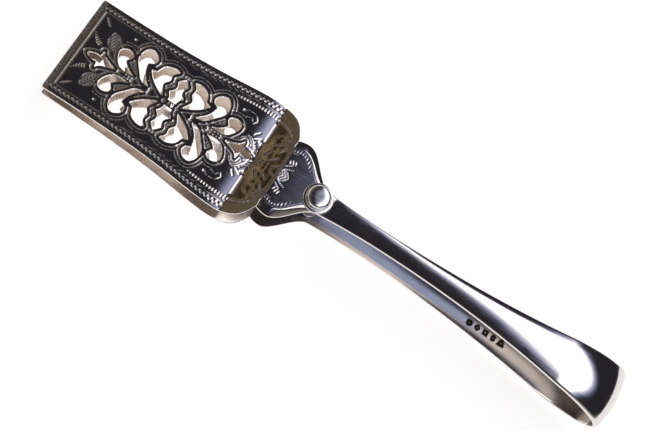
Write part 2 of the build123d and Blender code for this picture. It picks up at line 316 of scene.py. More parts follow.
def pierced_shapes(p):
    """The five cut-outs of one quarter, laid out in shares of the pattern's reach and rise.

    The slot and the leaf lie across a mirror line, so only one side of each is laid out.
    """
    small = np.vstack([
        [(0.628, 0.368)],
        through([(0.589, 0.496), (0.607, 0.613), (0.661, 0.656), (0.716, 0.59), (0.731, 0.46),
                 (0.69, 0.248), (0.602, 0.096), (0.479, 0.107)]),
        through([(0.479, 0.107), (0.55, 0.19), (0.628, 0.368)])])
    large = np.vstack([
        [(0.428, 0.619)],
        through([(0.374, 0.693), (0.358, 0.83), (0.449, 1.0), (0.53, 0.77), (0.481, 0.416),
                 (0.421, 0.237), (0.35, 0.1), (0.288, 0.077)]),
        through([(0.288, 0.077), (0.383, 0.315), (0.428, 0.619)])])
    petal = np.vstack([
        through([(0.353, 0.533), (0.255, 0.275), (0.12, 0.085)]),
        through([(0.12, 0.085), (0.169, 0.293), (0.178, 0.4), (0.14, 0.54), (0.146, 0.7),
                 (0.097, 0.861)]),
        through([(0.097, 0.861), (0.145, 0.901), (0.213, 0.864), (0.28, 0.68), (0.294, 0.581)])])
    slot = np.vstack([
        through([(0.044, 0.085), (0.049, 0.187), (0.084, 0.301)]),
        through([(0.084, 0.301), (0.036, 0.427), (0.033, 0.507), (0.057, 0.64)]),
        [(0, 0.8)]])
    slot = np.vstack([slot, slot[::-1] * (-1, 1)])  # the other side of X = 0
    leaf = np.vstack([
        through([(1.0, 0), (0.935, 0.091), (0.903, 0.104), (0.862, 0.077)]),
        through([(0.854, 0.253), (0.82, 0.144), (0.767, 0.085), (0.666, 0)])])
    leaf = np.vstack([leaf, leaf[::-1] * (1, -1)])  # the other side of Y = 0
    size = (p.pattern_reach, p.pattern_rise)
    return [shape * size for shape in (small, large, petal, slot, leaf)]


# ---------------------------------------------------------------- engraving
def line(gap, width):
    """1 on a line and 0 half a width away from it, with straight flanks like a graver's cut."""
    return np.clip(1 - np.abs(gap) / (width / 2), 0, 1)


def strokes(x, y, table):
    """Straight cuts that taper at both ends; each row is x, y, x, y and width in millimetres."""
    total = np.zeros_like(x)
    for x1, y1, x2, y2, width in table:
        run = np.hypot(x2 - x1, y2 - y1)
        share = np.clip(((x - x1) * (x2 - x1) + (y - y1) * (y2 - y1)) / run**2, 0, 1)
        gap = np.hypot(x - x1 - share * (x2 - x1), y - y1 - share * (y2 - y1))
        taper = 0.55 + 0.45 * np.sin(np.pi * np.clip(share, 0.12, 0.88))
        total = np.maximum(total, line(gap, width * taper))
    return total


def dots(x, y, places, radius):
    """Round punched dots in millimetres, each a shallow bowl."""
    total = np.zeros_like(x)
    for px, py in places:
        total = np.maximum(total, np.clip(1 - ((x - px) ** 2 + (y - py) ** 2) / radius**2, 0, 1))
    return total


def ticks(along, width, step=1.15):
    """A row of short cuts across a line, one in the middle of each step along it."""
    off = np.abs((along / step) % 1 - 0.5) * step
    return np.clip(1 - off / width, 0, 1)


def deepest(*cuts):
    """The deepest of several cuts at each place."""
    return np.maximum.reduce(cuts)


def blade_places(p, x, y, gaps):
    """Where each point of a blade's face lies, in millimetres, to lay the ornament out by.

    gaps holds the distances to the outline, to each pierced shape and to the tongue's edge. In
    the result a is measured from the tip, r from the middle line, q from the pattern's middle
    and edge from the long side; border, rim, hole and leaf are the distances to the outline, the
    tongue's edge, the nearest cut-out and the leaf-shaped cut-out.
    """
    g = SimpleNamespace(width=p.cut_width / MM, y=y / MM)
    g.a = (x - p.tip_x) / MM
    g.r = np.abs(y) / MM
    g.q = np.abs(x - p.pattern_x) / MM
    g.past_fold = g.a - p.blade_length / MM
    g.past_neck = (x - p.neck_x) / MM
    g.edge = np.interp(x, *blade_side(p).T) / MM - g.r
    g.border = -gaps[0] / MM
    g.rim = gaps[-1] / MM
    g.hole = gaps[1:-1].min(0) / MM
    g.leaf = gaps[-2] / MM
    g.heel = x > p.pattern_x
    g.on_blade = x < p.fold_x
    g.on_neck = x > p.neck_x
    g.heel_edge = ~g.on_blade & ~g.on_neck & (g.r > 8)
    g.lip = smoothstep(2.1, 1.7, g.a) * smoothstep(0.1, 0.4, g.a)
    return g


def outline_cuts(g):
    """Lines at a fixed distance from the piercing: round it, scallops outside, rings at the leaf."""
    at_leaf = g.heel * (g.r < 7.5)
    return deepest(
        line(g.hole - 1.5, g.width * 0.9) * (g.q < 35),
        0.9 * line(g.hole - 2.75, g.width * 0.85) * (g.r > 8.5) * (g.q < 27),
        line(g.leaf - 1.35, g.width) * (g.q > 22),
        0.9 * line(g.leaf - 2.3, g.width * 0.8) * at_leaf * (g.q > 28),
        0.9 * line(g.leaf - 3.1, g.width * 0.8) * at_leaf * (g.q > 31))


def border_cuts(g):
    """Border of the long sides: a rope between two lines, beads inside it, and two heel lines.

    The rope is a line that sways like a sine, with a cosine wave of slanted strokes over it.
    """
    twist = 1.95  # length of one turn of the rope
    bead_step = 1.3
    band = g.on_blade * (g.a > 1.2)
    inner_band = g.on_blade * (g.a > 3.0)
    sway = 0.42 * np.sin(2 * np.pi * g.a / twist)
    strands = 0.72 + 0.28 * np.cos(2 * np.pi * (g.a / twist - g.edge * 0.18))
    rope = line(g.edge - 2.15 - sway, 1.25) * strands
    off_bead = ((g.a / bead_step) % 1 - 0.5) * bead_step
    bead = np.clip(1 - off_bead**2 / 0.2 - (g.edge - 5.6) ** 2 / 0.35, 0, 1)
    return deepest(
        1.25 * rope * band,
        0.35 * line(g.edge - 0.8, 0.4) * band,
        0.75 * line(g.edge - 3.7, 0.4) * inner_band,
        0.5 * line(g.edge - 4.4, 0.35) * inner_band,
        0.8 * line(g.border - 3.6, 0.5) * g.heel_edge,
        0.6 * line(g.border - 0.9, 0.5) * g.heel_edge,
        1.4 * bead * smoothstep(60, 66, g.a) * (g.a < 88) * (g.hole > 3.4))


def tip_cuts(g):
    """Two lines across the tip and a rough band at its lip, a product of two wandering waves."""
    across = np.sin(7.3 * g.y + 1.7 * np.sin(3.1 * g.a))
    along = np.cos(5.9 * g.a + 2.3 * np.sin(2.2 * g.y))
    return deepest(
        0.75 * g.lip * (0.5 + 0.5 * across * along),
        line(g.a - 3.5, 0.5) * (g.r < 17.4),
        0.7 * line(g.a - 2.5, 0.4) * (g.r < 18.4),
        strokes(g.a, g.r, [(4.9, 15.9, 7.6, 13.4, 0.9)]) * (g.a < 10))


def field_cuts(g):
    """Short cuts and beads between the cut-outs, the same in all quarters, with more at the tip."""
    return deepest(
        strokes(g.q, g.r, [
            (38.9, 8.1, 38.7, 8.5, 0.6), (38.2, 7.2, 37.9, 7.9, 0.65), (37.5, 6.3, 37.1, 7.3, 0.7),
            (36.8, 5.5, 36.3, 6.9, 0.75), (36.0, 4.9, 35.5, 6.5, 0.75), (35.1, 4.5, 34.7, 6.2, 0.7),
            (31.0, 12.4, 29.2, 10.3, 0.5), (27.6, 6.1, 27.2, 9.5, 0.5)]) * ~g.heel,
        strokes(g.q, g.r, [(16.4, 1.3, 11.4, 3.6, 0.45), (12.4, 1.3, 9.0, 1.6, 0.45)]),
        1.2 * dots(g.q, g.r, [
            (0.6, 12.6), (11.2, 12.0), (24.6, 14.5), (22.7, 0.9), (21.3, 0.95), (19.9, 0.85),
            (18.5, 0.75), (17.1, 0.65), (9.6, 0.8)], 0.6))


def heel_cuts(g):
    """Curled lines on the heel flats, beads round the leaf, and the lines of the two folds."""
    return deepest(
        strokes(g.a, g.r, [
            (67.2, 14.2, 69.8, 15.6, 0.5), (69.8, 15.6, 73.2, 15.2, 0.5),
            (73.2, 15.2, 74.8, 13.2, 0.45), (74.8, 13.2, 73.4, 11.4, 0.45),
            (69.4, 12.6, 72.2, 13.4, 0.45), (72.2, 13.4, 73.0, 12.0, 0.4),
            (76.2, 8.2, 78.0, 10.2, 0.45), (76.6, 6.4, 79.6, 8.2, 0.5),
            (69.0, 9.6, 71.6, 9.0, 0.45)]),
        1.2 * dots(g.a, g.r, [
            (79.3, 1.0), (79.5, 2.2), (79.3, 3.4), (78.8, 4.5), (78.1, 5.5), (80.4, 6.6),
            (79.4, 7.4)], 0.58),
        1.1 * line(g.past_fold - 0.1, 1.2) * (g.r > 8.2) * (g.r < 16.6),
        0.8 * line(g.past_neck, 0.8) * (g.r < 13.4))


def slope_cuts(g):
    """Broad leaf cuts that spread from the slope's middle, and a row of short cuts at its sides."""
    return deepest(
        strokes(g.a, g.r, [
            (82.2, 0.6, 84.8, 0.9, 0.9), (85.6, 2.4, 88.6, 5.0, 1.0), (83.6, 3.6, 85.4, 6.6, 0.9),
            (87.4, 6.6, 89.4, 10.2, 0.9), (84.6, 8.8, 87.4, 10.6, 0.8), (86.4, 12.0, 89.2, 13.4, 0.9),
            (83.4, 11.6, 85.2, 13.6, 0.7), (88.2, 0.8, 90.6, 2.4, 0.8)]),
        1.1 * ticks(g.a, 0.34) * line(g.edge - 5.6, 2.0) * (g.a > 80) * (g.a < 89.5))


def neck_cuts(g):
    """A row of fine cuts and a thin line inside the rim of the neck, and a few curled lines."""
    row = ticks(g.a - 92, 0.32) * line(g.rim - 1.75, 1.5) * smoothstep(103.5, 99, g.a)
    curls = strokes(g.a, g.r, [
        (93.2, 6.6, 93.8, 5.6, 0.5), (94.3, 7.0, 94.9, 5.9, 0.5), (95.4, 7.3, 95.9, 6.2, 0.5),
        (92.4, 3.6, 95.4, 5.4, 0.4), (93.2, 2.6, 96.4, 3.8, 0.4), (92.2, 9.8, 94.4, 10.0, 0.45)])
    return deepest(0.45 * row + 0.25 * line(g.rim - 0.75, 0.35), 0.8 * curls) * g.on_neck


def matted_leaves(g):
    """Pointed leaves with hatching slanted from a middle vein: depth of cuts and share of matting.

    Each leaf is a lens: half its width times 1 less the square of the share along it.
    """
    everywhere = np.ones_like(g.heel)
    vein_step = 1.3
    cut = np.zeros_like(g.a)
    matt = np.zeros_like(g.a)
    for middle_q, middle_r, dq, dr, half_length, half_width, part in (
            (30.6, 8.8, 0.47, 0.88, 4.2, 2.0, ~g.heel),
            (18.6, 5.0, 0.72, 0.69, 3.2, 1.3, everywhere),
            (50.6, 0, 1, 0, 2.6, 1.9, g.heel)):
        along = ((g.q - middle_q) * dq + (g.r - middle_r) * dr) / half_length
        side = ((g.r - middle_r) * dq - (g.q - middle_q) * dr) / half_width
        beyond = np.abs(along) > 1
        lens = np.abs(side) / np.maximum(1 - along**2, 1e-3) + beyond * 9
        part = part * (g.hole > 1.9)
        blob = smoothstep(1.1, 0.8, lens) * part
        run = along * half_length + np.abs(side) * half_width
        hatch = 0.5 + 0.5 * np.cos(run * 2 * np.pi / vein_step)
        matt = np.maximum(matt, blob * (0.2 + 0.55 * hatch))
        cut = deepest(cut, 0.6 * blob * hatch, 0.8 * part * line(lens - 1.15, 0.4) * ~beyond)
    return cut, matt


def engraving(p, x, y, gaps):
    """Depth share of the cuts and share of matting at each place of the blade's outer face."""
    g = blade_places(p, x, y, gaps)
    leaf_cut, matt = matted_leaves(g)
    cut = deepest(outline_cuts(g), border_cuts(g), tip_cuts(g), field_cuts(g), heel_cuts(g),
                  slope_cuts(g), neck_cuts(g), leaf_cut)
    heel_matt = g.heel_edge * smoothstep(3.8, 3.2, g.border)
    clear = g.hole > 0.6  # the sawn edges stay plain
    return np.clip(cut, 0, 1) * clear, deepest(matt, 0.3 * g.lip, 0.35 * heel_matt)


def blade_side(p):
    """The blade's long side and heel as one run of x and half width."""
    outline = blade_outline(p)
    side = outline[(outline[:, 1] > 0) & (outline[:, 0] < p.neck_x)]
    return side[np.argsort(side[:, 0])]


# ---------------------------------------------------------------- meshes
def new_piece(name, vertices, faces, materials, smooth_angle=32.0, parts=None, layers=None):
    """A mesh object at the origin; equal vertices are merged and sharp edges kept by angle.

    parts holds the number of each face's material, and layers the named values at each vertex.
    """
    mesh = bpy.data.meshes.new(name)
    mesh.from_pydata(np.asarray(vertices).tolist(), [], faces)
    for key, values in (layers or {}).items():
        layer = mesh.attributes.new(key, "FLOAT", "POINT")
        layer.data.foreach_set("value", np.asarray(values, np.float32))
    for material in materials:
        mesh.materials.append(material)
    if parts is not None:
        mesh.polygons.foreach_set("material_index", np.asarray(parts, np.int32))
    work = bmesh.new()
    work.from_mesh(mesh)
    bmesh.ops.remove_doubles(work, verts=work.verts, dist=1e-7)
    loose = [v for v in work.verts if not v.link_faces]
    bmesh.ops.delete(work, geom=loose, context="VERTS")
    work.to_mesh(mesh)
    work.free()
    mesh.polygons.foreach_set("use_smooth", np.ones(len(mesh.polygons), bool))
    mesh.set_sharp_from_angle(angle=np.radians(smooth_angle))
    piece = bpy.data.objects.new(name, mesh)
    bpy.context.collection.objects.link(piece)
    return piece


def strip_faces(rows, columns, closed=False):
    """Quads between neighbouring points of a grid, row by row.

    With closed, the last column is joined to the first.
    """
    i = np.arange(rows - 1)[:, None] * columns
    j = np.arange(columns if closed else columns - 1)[None, :]
    k = (j + 1) % columns
    return np.stack([i + j, i + k, i + columns + k, i + columns + j], -1).reshape(-1, 4)


def soften(path, radii, steps=4):
    """Rounds the corners of many paths at once.

    path is stations x corners x 2. Each inner corner becomes a short parabola from one radius
    before it to one radius after it; a radius is kept under 0.45 of its neighbouring runs.
    """
    pieces = [path[:, :1]]
    t = np.linspace(0, 1, steps)[None, :, None]
    for k, radius in enumerate(radii, 1):
        corner, back, ahead = path[:, k], path[:, k - 1] - path[:, k], path[:, k + 1] - path[:, k]
        back_run = np.maximum(np.hypot(*back.T), 1e-12)[:, None]
        ahead_run = np.maximum(np.hypot(*ahead.T), 1e-12)[:, None]
        size = np.minimum(radius, 0.45 * np.minimum(back_run, ahead_run)) if radius else 0 * back_run
        a, b = corner + back / back_run * size, corner + ahead / ahead_run * size
        if radius:
            start, peak, end = a[:, None], corner[:, None], b[:, None]
            pieces.append((1 - t) ** 2 * start + 2 * t * (1 - t) * peak + t**2 * end)
        else:
            pieces.append(path[:, k:k + 1])
    pieces.append(path[:, -1:])
    return np.concatenate(pieces, 1)


def half_section(half, shape, inner, pocket, floor, bottom_steps):
    """Half of a strip section for every station, from the bottom round the rim to the top.

    The bottom is a shallow parabola, then come rim, bevel and a domed top; where a pocket is
    given, the top steps down to its floor at the pocket's edge. Returns stations x points x 2.
    """
    rim, bevel, bevel_height, dome, hollow = shape.T
    shelf = half - bevel

    def crown(y):
        """Height of the outer face: the bevel up to the shelf, then a parabola over it."""
        slope = rim + bevel_height * np.clip((half - y) / bevel, 0, 1)
        return slope + dome * np.maximum(1 - (y / shelf) ** 2, 0)

    share = np.linspace(0, 1, bottom_steps)[None, :]
    across = inner[:, None] + (half * 0.93 - inner)[:, None] * share
    bottom = np.stack([across, hollow[:, None] * (1 - (across / half[:, None]) ** 2)], -1)
    edge = np.where(np.isnan(pocket), shelf * 0.55, pocket)
    knee = np.maximum(shelf, edge + 0.15 * MM)
    ledge = (edge + knee) / 2
    corners = np.stack([
        bottom[:, -1], np.stack([half, 0 * half], -1), np.stack([half, rim], -1),
        np.stack([knee, crown(knee)], -1), np.stack([ledge, crown(ledge)], -1)], 1)
    rounded = soften(corners, (0.15 * MM, 0.28 * MM, 0.6 * MM))
    share = np.linspace(1, 0, 7)[None, 1:]
    middle = edge[:, None] + (ledge - edge)[:, None] * share
    outer_top = np.stack([middle, crown(middle.T).T], -1)
    share = np.linspace(1, 0, 9)[None, :]
    across = inner[:, None] + (edge - inner)[:, None] * share
    level = np.where(np.isnan(pocket)[:, None], crown(across.T).T, floor[:, None])
    inner_top = np.stack([across, level], -1)
    return np.concatenate([bottom, rounded[:, 1:], outer_top, inner_top], 1)


def sweep_halves(sections, place, openings):
    """Carries half sections along the arm and mirrors them in Y, leaving a bore open.

    place turns across and outward values into X, Y, Z; openings says between which stations the
    inner wall of the bore is needed. Both ends are closed with flat faces.
    """
    rows, columns = sections.shape[:2]
    faces = strip_faces(rows, columns)
    wall = np.flatnonzero(openings)
    start = wall * columns
    inner = np.stack([start + columns - 1, start, start + columns, start + 2 * columns - 1], -1)
    faces = np.vstack([faces, inner])
    across, out = sections[..., 0], sections[..., 1]
    vertices = np.vstack([place(across, out), place(-across, out)])
    shift = rows * columns
    mirrored = faces[:, ::-1] + shift
    first = list(range(columns))
    last = list(range((rows - 1) * columns, rows * columns))
    caps = [first[::-1], last, [k + shift for k in first], [k + shift for k in last[::-1]]]
    return vertices, faces.tolist() + mirrored.tolist() + caps


def inner_parts(sections, bottom_steps, walls):
    """1 for each face of the hollow inner side and 0 for others, in the order of sweep_halves."""
    rows, columns = sections.shape[:2]
    across = np.arange((rows - 1) * (columns - 1)) % (columns - 1)
    half = np.concatenate([across < bottom_steps - 1, np.zeros(walls)])
    return np.concatenate([half, half, np.zeros(4)])


def revolve(profile, x, turns=96):
    """Turns a profile of radius and height about a line along Z at x; a closed one gives a ring."""
    angle = np.linspace(0, 2 * np.pi, turns, endpoint=False)[:, None]
    radius, height = profile[:, 0][None], profile[:, 1][None]
    points = np.stack([x + radius * np.cos(angle), radius * np.sin(angle), height + 0 * angle], -1)
    faces = strip_faces(turns + 1, len(profile)) % (turns * len(profile))
    return points.reshape(-1, 3), faces.tolist()


def pierced_sheet(xs, ys, field, top, low, layers):
    """A sheet with thickness over a grid, cut where field is 0 or more.

    Each grid cell keeps the part of it where the field is negative; its border is placed on the
    cell's sides in proportion to the field, so that holes and outline stay smooth. The layers
    are values on the grid, which are carried to the border in the same proportion. top and low
    give the heights of the two faces. Parts are 0 on top, 1 below and 2 on the walls.
    """
    columns, rows = len(xs), len(ys)
    inside = field < 0
    x, y = np.meshgrid(xs, ys, indexing="ij")
    node = np.arange(columns * rows).reshape(columns, rows)
    along = columns * rows + np.arange((columns - 1) * rows).reshape(columns - 1, rows)
    up = along[-1, -1] + 1 + np.arange(columns * (rows - 1)).reshape(columns, rows - 1)

    def crossing(a, b):
        """Share of the way from a to b where the field is 0, kept off the grid's points."""
        with np.errstate(divide="ignore", invalid="ignore"):
            share = a / (a - b)
        return np.clip(np.nan_to_num(share, nan=0.5), 0.06, 0.94)

    sx = crossing(field[:-1], field[1:])
    sy = crossing(field[:, :-1], field[:, 1:])

    def carried(grid):
        """Values at the grid's points, then at the crossings along X and along Y."""
        over = grid[:-1] + (grid[1:] - grid[:-1]) * sx
        beside = grid[:, :-1] + (grid[:, 1:] - grid[:, :-1]) * sy
        return np.concatenate([grid.ravel(), over.ravel(), beside.ravel()])

    px, py = carried(x), carried(y)
    near = np.array([carried(layer) for layer in layers])
    border = np.arange(len(px)) >= columns * rows
    # A, B, C and D are a cell's corners in turn, and s, e, n and w the crossings on its sides
    code = inside[:-1, :-1] + 2 * inside[1:, :-1] + 4 * inside[1:, 1:] + 8 * inside[:-1, 1:]
    corner = {"A": node[:-1, :-1], "B": node[1:, :-1], "C": node[1:, 1:], "D": node[:-1, 1:],
              "s": along[:, :-1], "e": up[1:], "n": along[:, 1:], "w": up[:-1]}
    cells = {1: "Asw", 2: "Bes", 3: "ABew", 4: "Cne", 5: "AseCnw", 6: "BCns", 7: "ABCnw", 8: "Dwn",
             9: "AsnD", 10: "BenDws", 11: "ABenD", 12: "CDwe", 13: "AseCD", 14: "BCDws", 15: "ABCD"}
    faces, walls = [], []
    for value, letters in cells.items():
        pick = code == value
        loop = np.stack([corner[letter][pick] for letter in letters], -1)
        faces.append(loop)
        for k, pair in enumerate(zip(letters, letters[1:] + letters[0])):
            if pair[0] in "senw" and pair[1] in "senw":
                walls.append(loop[:, [k, (k + 1) % len(letters)]])
    walls = np.vstack(walls)
    count = len(px)
    heights = (top(px, py, border, near), low(px, py, border))
    vertices = np.vstack([np.column_stack([px, py, height]) for height in heights])
    upper = [row for loop in faces for row in loop.tolist()]
    lower = [row for loop in faces for row in (loop[:, ::-1] + count).tolist()]
    first, second = walls.T
    sides = np.stack([second, first, first + count, second + count], -1).tolist()
    parts = [0] * len(upper) + [1] * len(lower) + [2] * len(sides)
    return vertices, upper + lower + sides, parts


# ---------------------------------------------------------------- materials
def add(tree, kind, settings=None, links=None):
    """Adds a node, sets its attributes and feeds its inputs with values or sockets."""
    node = tree.nodes.new(kind)
    for key, value in (settings or {}).items():
        setattr(node, key, value)
    for key, value in (links or {}).items():
        if isinstance(value, bpy.types.NodeSocket):
            tree.links.new(value, node.inputs[key])
        else:
            node.inputs[key].default_value = value
    return node


def rgba(values):
    """A colour with full alpha."""
    return (*values, 1.0)


def silver(name, base, rough_low, rough_high, cut_colour=None, bump=0.05, middle=None):
    """Sterling silver, polished by hand: nearly a mirror, with hairlines along X and cloudy wear.

    The hairlines are really about 0.02 mm wide; they are drawn 0.35 mm wide so that they show.
    Clouds of wear are about 9 mm across. With a cut colour, the mesh's cut and matt values turn
    the polish into the rougher floor of engraved lines, darkened by oxide. With a middle colour,
    the mesh's warm value fades from it to the base colour; these two colours paint a reflection:
    the middle one is a painted reflection of the blue-grey studio panel, the base one is tarnish and
    painted reflection.
    """
    material = bpy.data.materials.new(name)
    material.use_nodes = True
    tree = material.node_tree
    tree.nodes.clear()
    place = add(tree, "ShaderNodeTexCoord").outputs["Object"]
    hair_place = add(tree, "ShaderNodeMapping", {}, {
        "Vector": place, "Scale": (90, 2800, 2800)}).outputs[0]
    hair = add(tree, "ShaderNodeTexNoise", {}, {
        "Vector": hair_place, "Scale": 1.0, "Detail": 2.0}).outputs["Fac"]
    cloud = add(tree, "ShaderNodeTexNoise", {}, {
        "Vector": place, "Scale": 110.0, "Detail": 3.0, "Roughness": 0.6}).outputs["Fac"]
    wear = add(tree, "ShaderNodeMath", {"operation": "MULTIPLY"}, {0: hair, 1: cloud}).outputs[0]
    rough = add(tree, "ShaderNodeMapRange", {}, {
        "Value": wear, "From Min": 0.12, "From Max": 0.45,
        "To Min": rough_low, "To Max": rough_high}).outputs[0]
    bumped = add(tree, "ShaderNodeBump", {}, {
        "Height": hair, "Strength": bump, "Distance": 0.02 * MM}).outputs[0]
    shader = add(tree, "ShaderNodeBsdfPrincipled", {}, {"Metallic": 1.0, "Normal": bumped})
    if cut_colour is None:
        shader.inputs["Base Color"].default_value = rgba(base)
        tree.links.new(rough, shader.inputs["Roughness"])
    else:
        cut = add(tree, "ShaderNodeAttribute", {"attribute_name": "cut"}).outputs["Fac"]
        matt = add(tree, "ShaderNodeAttribute", {"attribute_name": "matt"}).outputs["Fac"]
        worked = add(tree, "ShaderNodeMath", {"operation": "MAXIMUM"}, {
            0: cut, 1: matt}).outputs[0]
        clean = rgba(base)
        if middle is not None:
            warm = add(tree, "ShaderNodeAttribute", {"attribute_name": "warm"}).outputs["Fac"]
            clean = add(tree, "ShaderNodeMix", {"data_type": "RGBA"}, {
                "Factor": warm, 6: rgba(middle), 7: rgba(base)}).outputs[2]
        tint = add(tree, "ShaderNodeMix", {"data_type": "RGBA"}, {
            "Factor": worked, 6: clean, 7: rgba(cut_colour)}).outputs[2]
        level = add(tree, "ShaderNodeMapRange", {}, {
            "Value": worked, "To Max": 0.42}).outputs[0]
        total = add(tree, "ShaderNodeMath", {"operation": "ADD", "use_clamp": True}, {
            0: rough, 1: level}).outputs[0]
        tree.links.new(tint, shader.inputs["Base Color"])
        tree.links.new(total, shader.inputs["Roughness"])
    add(tree, "ShaderNodeOutputMaterial", {}, {"Surface": shader.outputs[0]})
    return material


def finish(name):
    """The silver finishes, each made once."""
    if name in bpy.data.materials:
        return bpy.data.materials[name]
    c = bpy.context.scene.tongs_colours
    made = {
        # Cut with a graver after planishing: bright flats, satin cuts that catch the light
        "engraved_sterling_silver": lambda: silver(name, c.silver, 0.06, 0.12, c.cut_silver),
        # Rolled and buffed: the clearest mirror on the tongs
        "polished_sterling_silver": lambda: silver(name, c.silver, 0.07, 0.15, bump=0.12),
        # Left from the rolling mill and barely buffed: soft reflections with a warm tarnish
        "satin_rolled_silver": lambda: silver(name, c.inner_silver, 0.2, 0.32, c.stamp_silver, 0.1),
        # The same inside the arms and bow, with a painted reflection: slate blue in the middle is a
        # painted reflection of the studio panel, and the warm tone at the edges is tarnish and
        # painted reflection
        "tarnish_and_painted_reflection_silver": lambda: silver(
            name, c.warm_tarnish_and_painted_reflection, 0.2, 0.3, c.stamp_silver, 0.1, c.slate_painted_reflection),
        # Handled most: fine scratches all over the dome
        "worn_sterling_silver": lambda: silver(name, c.button_silver, 0.1, 0.22, bump=0.2),
    }
    return made[name]()


# ---------------------------------------------------------------- operators
def blade_grid(p):
    """The grid over a blade with its distances to outline, pierced shapes and tongue's edge."""
    step = p.grid_step
    xs = np.arange(p.tip_x - step / 2, p.post_x + p.tongue_end_radius + step, step)
    half_rows = int(np.ceil(p.heel_half_width / step)) + 1
    ys = (np.arange(-half_rows, half_rows) + 0.5) * step
    x, y = np.meshgrid(xs, ys[ys > 0], indexing="ij")
    points = np.column_stack([x.ravel(), y.ravel()])
    mirrored = np.abs(points - (p.pattern_x, 0))
    gaps = [distance(points, blade_outline(p))]
    gaps += [distance(mirrored, shape) for shape in pierced_shapes(p)]
    gaps.append(distance(points, tongue_edge(p), closed=False))
    gaps = np.array(gaps).reshape(-1, *x.shape)
    return xs, ys, np.concatenate([gaps[..., ::-1], gaps], -1)


def blade_height(p, x, y):
    """Height of a blade's outer face: level runs joined by two soft folds, with sagging heel flats.

    Each fold is a hyperbola between its two straight runs. The heel flats lean towards the fold,
    and the slope is hollowed like a shallow scoop that is deepest on its middle line.
    """
    def bend(t, soft):
        """0 before t = 0 and t after it, rounded over the soft length."""
        return (t + np.sqrt(t * t + soft * soft)) / 2

    slope = (p.heel_half_gap - p.tip_half_gap) / p.blade_length
    steep = (p.neck_top - p.heel_half_gap - p.sheet) / p.slope_length
    rise = slope * (x - p.tip_x) + (steep - slope) * bend(x - p.fold_x, 0.7 * MM)
    rise -= steep * bend(x - p.neck_x, 0.5 * MM)
    share = np.clip((x - p.fold_x) / p.slope_length, 0, 1)
    flat_length = 8 * MM
    lean = 0.56 * MM * np.clip((x - p.fold_x) / flat_length + 1, 0, 1) ** 1.5 * (1 - share)
    scoop_depth = 0.14 * MM + 0.1 * MM * np.cos(np.pi * y / p.heel_half_width)
    scoop = np.sin(np.pi * share) ** 2 * scoop_depth
    return p.tip_half_gap + p.sheet + rise - lean - scoop


def blade(name, side, body, grid):
    """One pierced and engraved blade; side is 1 for the upper and -1 for the lower one.

    The outer face is the folded height less the cuts, with a small half-ellipsoid boss at the
    middle of the pattern; both faces are eased in at the sawn edges.
    """
    p = plan()
    xs, ys, gaps = grid
    x, y = np.meshgrid(xs, ys, indexing="ij")
    boss_radius = 1.05 * MM
    boss_height = 0.4 * MM
    bore = p.post_radius + (p.post_clearance if side > 0 else p.solder_gap)
    post_gap = np.hypot(x - p.post_x, y) - bore
    field = np.maximum(gaps[0], -np.minimum(gaps[1:-1].min(0), post_gap))
    saved = {}

    def top(px, py, border, near):
        """Heights of the outer face; the cuts and the matting are saved for the layers."""
        cut, matt = engraving(p, px, py, near)
        saved.update(cut=cut, matt=matt)
        boss = np.maximum(1 - ((px - p.pattern_x) ** 2 + py**2) / boss_radius**2, 0)
        raised = boss_height * np.sqrt(boss)
        eased = 0.08 * MM * border
        return side * (blade_height(p, px, py) + raised - p.cut_depth * cut - eased)

    def low(px, py, border):
        """Heights of the inner face."""
        eased = 0.06 * MM * border
        return side * (blade_height(p, px, py) - p.sheet + eased)

    vertices, faces, parts = pierced_sheet(xs, ys, field, top, low, gaps)
    if side < 0:
        faces = [face[::-1] for face in faces]
    zeros = np.zeros(len(vertices) // 2)
    layers = {key: np.concatenate([saved[key], zeros]) for key in ("cut", "matt")}
    finishes = [finish("engraved_sterling_silver"), finish("satin_rolled_silver"),
                finish("polished_sterling_silver")]
    piece = new_piece(name, vertices, faces, finishes, 50, parts, layers)
    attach(piece, body)
    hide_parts(name.replace("engraved_", ""))


def marks(x, y):
    """Depth share of five punched frames with plain signs inside, by place in millimetres.

    The frames are a disc, a lozenge, a square, an upright oval and a shield-like triangle. Each
    is where its own measure of size is under 1, and its sign is a small oval left standing.
    """
    mark_radius = 1.4
    row_y = -1.0
    frames = (
        (61.8, lambda u, v: np.hypot(u, v)),
        (65.6, lambda u, v: np.abs(u) + np.abs(v)),
        (69.4, lambda u, v: np.maximum(np.abs(u), np.abs(v)) * 1.1),
        (73.1, lambda u, v: np.hypot(u * 1.35, v)),
        (76.9, lambda u, v: np.maximum(np.abs(u) * 1.15 + v * 0.45, -v)))
    depth = np.zeros_like(x)
    for k, (middle_x, frame_size) in enumerate(frames):
        u = (x - middle_x) / mark_radius
        v = (y - row_y) / mark_radius
        sign = np.hypot(u * (1.4 + 0.4 * (k % 2)), v * (1.8 - 0.4 * (k % 3)))
        stamp = smoothstep(1.0, 0.85, frame_size(u, v)) * (1 - 0.9 * smoothstep(0.5, 0.3, sign))
        depth = np.maximum(depth, stamp)
    return depth


